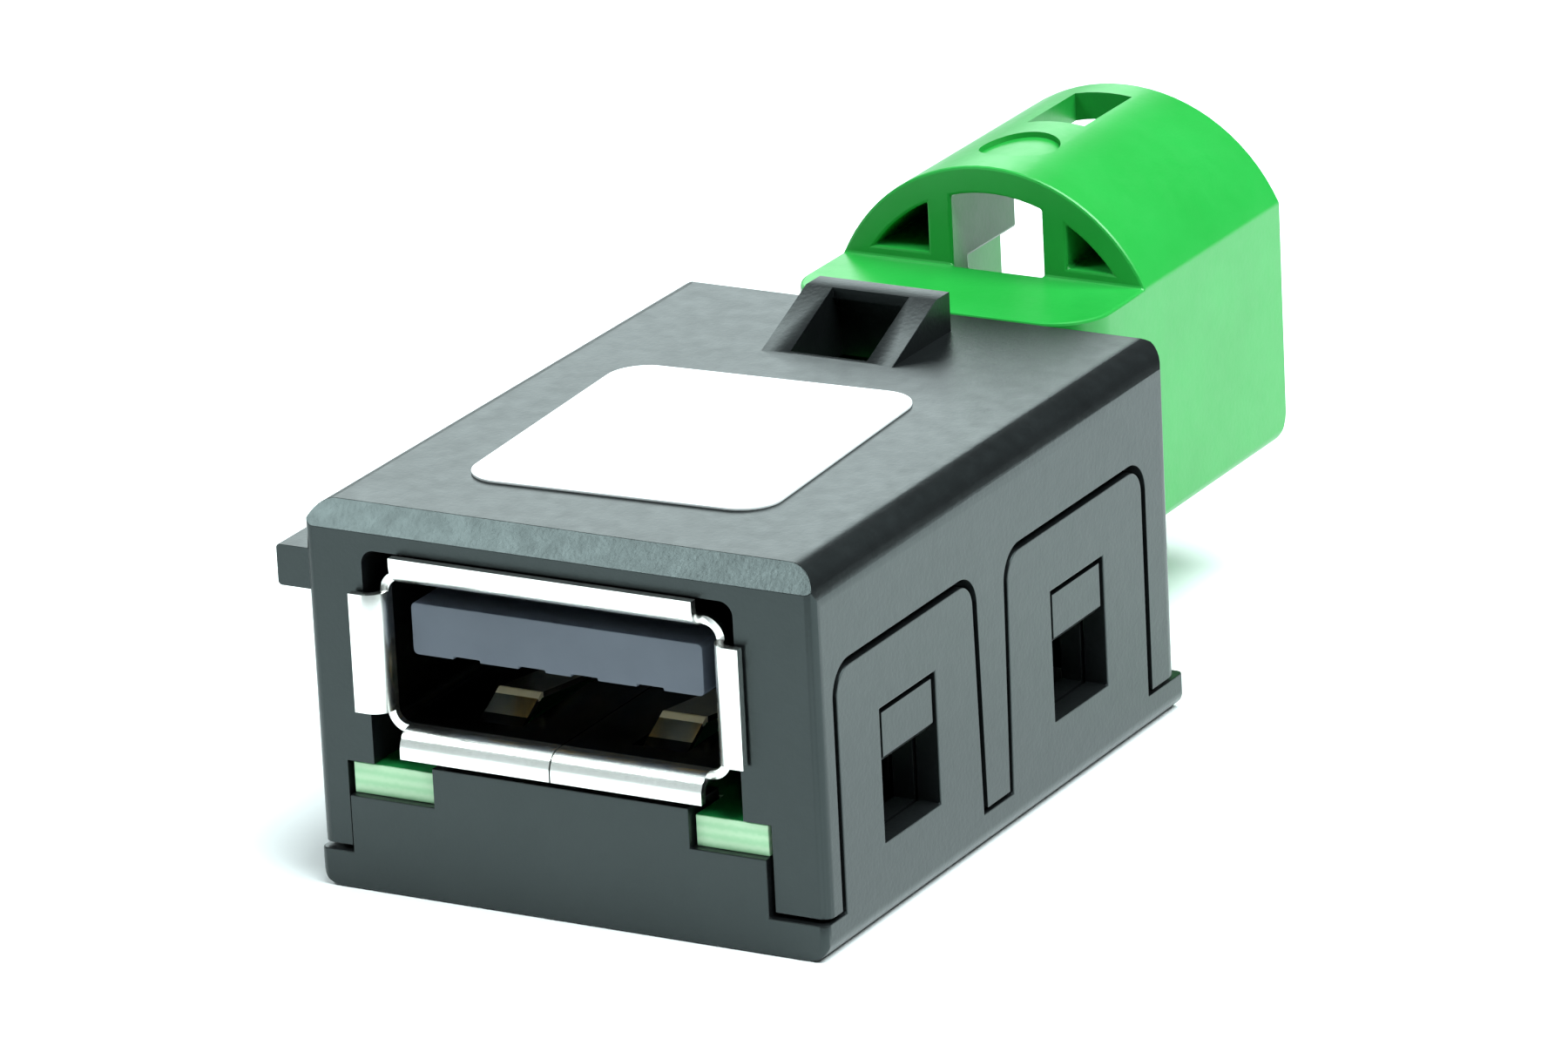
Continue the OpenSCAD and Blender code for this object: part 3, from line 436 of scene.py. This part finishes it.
def board_laminate(finishes):
    """Circuit board: lacquered faces, and glass layers that show in the cut edge."""
    finish, tree, shader = new_finish("board_laminate")
    point = object_point(tree)
    layers = tree.nodes.new("ShaderNodeTexWave")
    layers.bands_direction = "Z"
    layers.inputs["Scale"].default_value = 1.0 / LAYER_SIZE
    layers.inputs["Distortion"].default_value = LAYER_WAVER
    layers.inputs["Detail"].default_value = LAYER_DETAIL
    layers.inputs["Detail Scale"].default_value = LAYER_DETAIL_SCALE
    tree.links.new(point, layers.inputs["Vector"])
    edge = blend(tree, layers.outputs["Fac"], finishes.laminate, finishes.laminate_glass)
    geometry = tree.nodes.new("ShaderNodeNewGeometry")
    upright = number_step(tree, "ABSOLUTE", axes_of(tree, geometry.outputs["True Normal"])["Z"])
    face = spread(tree, upright, 0.0, 1.0, *EDGE_TO_FACE)
    tree.links.new(blend(tree, face, edge, finishes.mask), shader.inputs["Base Color"])
    gloss = spread(tree, upright, EDGE_ROUGH, MASK_ROUGH, *EDGE_TO_FACE)
    tree.links.new(gloss, shader.inputs["Roughness"])
    bump(tree, shader, noise(tree, point, WEAVE_SIZE), WEAVE_RELIEF, WEAVE_STRENGTH)
    return finish


def chip_finish(name, first, second, rough):
    """Matt body of a small board part, with a fine sintered grain."""
    finish, tree, shader = new_finish(name)
    grain = noise(tree, object_point(tree), CHIP_GRAIN, CHIP_DETAIL)
    tree.links.new(blend(tree, spread(tree, grain, 0.0, 1.0), first, second), shader.inputs["Base Color"])
    tree.links.new(spread(tree, grain, rough - CHIP_LOSS, rough + CHIP_GAIN), shader.inputs["Roughness"])
    bump(tree, shader, grain, FINE_RELIEF, CHIP_STRENGTH)
    return finish


# Pieces

def weigh_edges(mesh, sharp, crisp):
    """Marks the edges to soften: those that bend more than an angle, except inside a crisp box."""
    shape = bmesh.new()
    shape.from_mesh(mesh)
    weight = shape.edges.layers.float.new("bevel_weight_edge")
    low, high = crisp
    for edge in shape.edges:
        middle = (edge.verts[0].co + edge.verts[1].co) / 2
        inside = all(low[axis] < middle[axis] < high[axis] for axis in range(3))
        edge[weight] = 1.0 if edge.calc_face_angle(0.0) > sharp and not inside else 0.0
    shape.to_mesh(mesh)
    shape.free()


def softened(node, width, finish, segments=2, sharp=SHARP_ANGLE, crisp=None):
    """A copy of a node with merged triangles and softened edges, which stands for the node."""
    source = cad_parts[node]
    piece = bpy.data.objects.new(f"{node}_skin", source.data.copy())
    bpy.context.scene.collection.objects.link(piece)
    bpy.ops.object.select_all(action="DESELECT")
    piece.select_set(True)
    bpy.context.view_layer.objects.active = piece
    bpy.ops.object.mode_set(mode="EDIT")
    bpy.ops.mesh.select_all(action="SELECT")
    bpy.ops.mesh.customdata_custom_splitnormals_clear()
    bpy.ops.mesh.remove_doubles(threshold=MERGE_REACH)
    bpy.ops.mesh.dissolve_degenerate(threshold=MERGE_REACH)
    bpy.ops.mesh.dissolve_limited(angle_limit=FLAT_ANGLE)
    bpy.ops.object.mode_set(mode="OBJECT")
    edges = piece.modifiers.new("soft_edges", "BEVEL")
    edges.width = width
    edges.segments = segments
    edges.limit_method = "ANGLE"
    edges.angle_limit = sharp
    edges.use_clamp_overlap = True
    if crisp:
        weigh_edges(piece.data, sharp, crisp)
        edges.limit_method = "WEIGHT"
        edges.use_clamp_overlap = False
    bpy.ops.object.modifier_apply(modifier=edges.name)
    bpy.ops.object.shade_smooth_by_angle(angle=sharp)
    flats = piece.modifiers.new("flat_faces", "WEIGHTED_NORMAL")
    flats.keep_sharp = True
    bpy.ops.object.modifier_apply(modifier=flats.name)
    piece.data.materials.clear()
    piece.data.materials.append(finish)
    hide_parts(node)
    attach(piece, BODY)
    return piece


class USBSOCKET_OT_housing(bpy.types.Operator):
    """Soften the upper housing and the lower cover and give them their grained black finish"""

    bl_idname = "usb_socket.housing"
    bl_label = "Housing"

    def execute(self, context):
        edges, finishes, _ = settings()
        black = moulding("black_plastic", finishes.black, finishes.black_pale, finishes.black_rough,
                         BLACK_GRAIN, BLACK_RELIEF, finishes.black_sheen)
        for node in ("upper_housing", "lower_cover"):
            softened(node, edges.housing, black)
        return {"FINISHED"}


class USBSOCKET_OT_label(bpy.types.Operator):
    """Lay the bare label on the top"""

    bl_idname = "usb_socket.label"
    bl_label = "Label"

    def execute(self, context):
        edges, finishes, _ = settings()
        softened("label", edges.label, sticker_paper(finishes))
        return {"FINISHED"}


class USBSOCKET_OT_board(bpy.types.Operator):
    """Finish the circuit board and the parts on it"""

    bl_idname = "usb_socket.board"
    bl_label = "Circuit Board"

    def execute(self, context):
        edges, finishes, _ = settings()
        softened("circuit_board", edges.board, board_laminate(finishes), segments=1)
        ferrite = chip_finish("chip_ferrite", finishes.ferrite, finishes.ferrite_pale, FERRITE_ROUGH)
        package = chip_finish("chip_plastic", finishes.package, finishes.package_pale, PACKAGE_ROUGH)
        ceramic = chip_finish("chip_ceramic", finishes.ceramic, finishes.ceramic_pale, CERAMIC_ROUGH)
        softened("data_choke", edges.plastic, ferrite)
        softened("surge_array", edges.contact, package)
        for node in ("bypass_cap_1", "bypass_cap_2"):
            softened(node, edges.contact, ceramic)
        return {"FINISHED"}


class USBSOCKET_OT_front_socket(bpy.types.Operator):
    """Finish the front socket: shell, tongue and contacts"""

    bl_idname = "usb_socket.front_socket"
    bl_label = "Front Socket"

    def execute(self, context):
        edges, finishes, _ = settings()
        nickel = plated_sheet("shell_metal", finishes.nickel, finishes.nickel_dull, NICKEL_ROUGH,
                              NICKEL_DRAW, shell_zones(finishes))
        tongue = moulding("tongue_plastic", finishes.lilac, finishes.lilac_pale, INNER_ROUGH,
                          TONGUE_GRAIN, FINE_RELIEF)
        gold = plated_sheet("contact_gold", finishes.gold, finishes.gold_dull, GOLD_ROUGH, GOLD_DRAW)
        softened("usb_shell", edges.sheet, nickel)
        softened("usb_insulator", edges.plastic, tongue)
        for place in range(1, 5):
            softened(f"usb_contact_{place}", edges.contact, gold)
        return {"FINISHED"}


class USBSOCKET_OT_rear_connector(bpy.types.Operator):
    """Finish the rear connector: green shroud, shield, core and pins"""

    bl_idname = "usb_socket.rear_connector"
    bl_label = "Rear Connector"

    def execute(self, context):
        edges, finishes, _ = settings()
        green = moulding("green_plastic", finishes.green, finishes.green_pale, finishes.green_rough,
                         GREEN_GRAIN, FINE_RELIEF)
        core = moulding("core_plastic", finishes.core, finishes.core_pale, INNER_ROUGH, CORE_GRAIN,
                        FINE_RELIEF)
        nickel = bpy.data.materials["shell_metal"]
        gold = bpy.data.materials["contact_gold"]
        softened("rear_shroud", edges.shroud, green, sharp=SHROUD_ANGLE, crisp=self.roof())
        softened("rear_shield", edges.sheet, nickel)
        softened("rear_insulator", edges.plastic, core)
        for place in range(1, 5):
            softened(f"rear_pin_{place}", edges.contact, gold)
        return {"FINISHED"}

    def roof(self):
        """The box round the recess and the window in the roof of the arch."""
        low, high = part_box("rear_shroud")
        return ((low[0] + ROOF_LEFT, high[1] - ROOF_FRONT, high[2] - ROOF_DEPTH),
                (low[0] + ROOF_RIGHT, high[1] - ROOF_REAR, high[2] + ROOF_DEPTH))


def panel_light(name, place, width, height, watts, stage):
    """A soft light panel that points at the camera's aim."""
    bpy.ops.object.light_add(type="AREA", location=place)
    light = bpy.context.object
    light.name = name
    light.rotation_mode = "QUATERNION"
    light.rotation_quaternion = (Vector(stage.aim) - Vector(place)).to_track_quat("-Z", "Y")
    light.data.shape = "RECTANGLE"
    light.data.size = width
    light.data.size_y = height
    light.data.energy = watts
    light.data.color = stage.tint


class USBSOCKET_OT_stage(bpy.types.Operator):
    """Set the pale floor, the studio light and the camera"""

    bl_idname = "usb_socket.stage"
    bl_label = "Stage"

    def execute(self, context):
        stage = settings()[2]
        self.floor()
        self.light(stage)
        self.camera(stage)
        return {"FINISHED"}

    def floor(self):
        """A wide white floor just under the base."""
        bpy.ops.mesh.primitive_plane_add(size=FLOOR_SIZE, location=(0.0, 0.0, CAD_BOX[0][2] - FLOOR_DROP))
        floor = bpy.context.object
        floor.name = "floor"
        finish, tree, shader = new_finish("floor_white")
        shader.inputs["Base Color"].default_value = FLOOR_WHITE
        gloss = spread(tree, noise(tree, object_point(tree), FLOOR_PATCH), *FLOOR_ROUGH)
        tree.links.new(gloss, shader.inputs["Roughness"])
        floor.data.materials.append(finish)

    def light(self, stage):
        """Dim surroundings, a high panel on the left, a wide one overhead, and low ones front and rear."""
        world = bpy.context.scene.world or bpy.data.worlds.new("studio")
        bpy.context.scene.world = world
        world.use_nodes = True
        sky = world.node_tree.nodes["Background"]
        sky.inputs["Color"].default_value = SKY_WHITE
        sky.inputs["Strength"].default_value = stage.sky
        panel_light("key_panel", *KEY_PANEL, stage.key_power, stage)
        panel_light("back_panel", *BACK_PANEL, stage.back_power, stage)
        panel_light("top_panel", *TOP_PANEL, stage.top_power, stage)
        panel_light("front_panel", *FRONT_PANEL, stage.front_power, stage)
        bpy.context.scene.view_settings.view_transform = "Standard"

    def camera(self, stage):
        """A long lens that sees the front, the right side and the top."""
        outward = Vector((math.sin(stage.azimuth) * math.cos(stage.elevation),
                          -math.cos(stage.azimuth) * math.cos(stage.elevation),
                          math.sin(stage.elevation)))
        roll = Quaternion((0.0, 0.0, 1.0), stage.roll)
        bpy.ops.object.camera_add(location=Vector(stage.aim) + outward * stage.reach)
        camera = bpy.context.object
        camera.rotation_mode = "QUATERNION"
        camera.rotation_quaternion = outward.to_track_quat("Z", "Y") @ roll
        camera.data.lens = stage.lens
        camera.data.sensor_width = SENSOR_WIDTH
        camera.data.clip_start = CLIP_START
        bpy.context.scene.camera = camera


PIECE_OPERATORS = (USBSOCKET_OT_housing, USBSOCKET_OT_label, USBSOCKET_OT_board, USBSOCKET_OT_front_socket,
                   USBSOCKET_OT_rear_connector, USBSOCKET_OT_stage)


class USBSOCKET_PT_panel(bpy.types.Panel):
    """Sidebar panel with the sizes, the finishes and the operators"""

    bl_idname = "USBSOCKET_PT_panel"
    bl_label = "Car USB Socket"
    bl_space_type = "VIEW_3D"
    bl_region_type = "UI"
    bl_category = "USB Socket"

    def draw(self, context):
        for operator in PIECE_OPERATORS:
            self.layout.operator(operator.bl_idname)
        for group in settings():
            box = self.layout.box()
            for name in group.bl_rna.properties.keys():
                if name not in ("rna_type", "name"):
                    box.prop(group, name)


CLASSES = (SocketEdges, SocketFinishes, SocketStage, *PIECE_OPERATORS, USBSOCKET_PT_panel)


def register():
    for item in CLASSES:
        bpy.utils.register_class(item)
    bpy.types.Scene.usb_socket_edges = PointerProperty(type=SocketEdges)
    bpy.types.Scene.usb_socket_finishes = PointerProperty(type=SocketFinishes)
    bpy.types.Scene.usb_socket_stage = PointerProperty(type=SocketStage)


def unregister():
    del bpy.types.Scene.usb_socket_stage
    del bpy.types.Scene.usb_socket_finishes
    del bpy.types.Scene.usb_socket_edges
    for item in reversed(CLASSES):
        bpy.utils.unregister_class(item)


def main():
    """Registers the classes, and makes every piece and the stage."""
    register()
    bpy.ops.usb_socket.housing()
    bpy.ops.usb_socket.label()
    bpy.ops.usb_socket.board()
    bpy.ops.usb_socket.front_socket()
    bpy.ops.usb_socket.rear_connector()
    bpy.ops.usb_socket.stage()


if __name__ == "__main__":
    main()
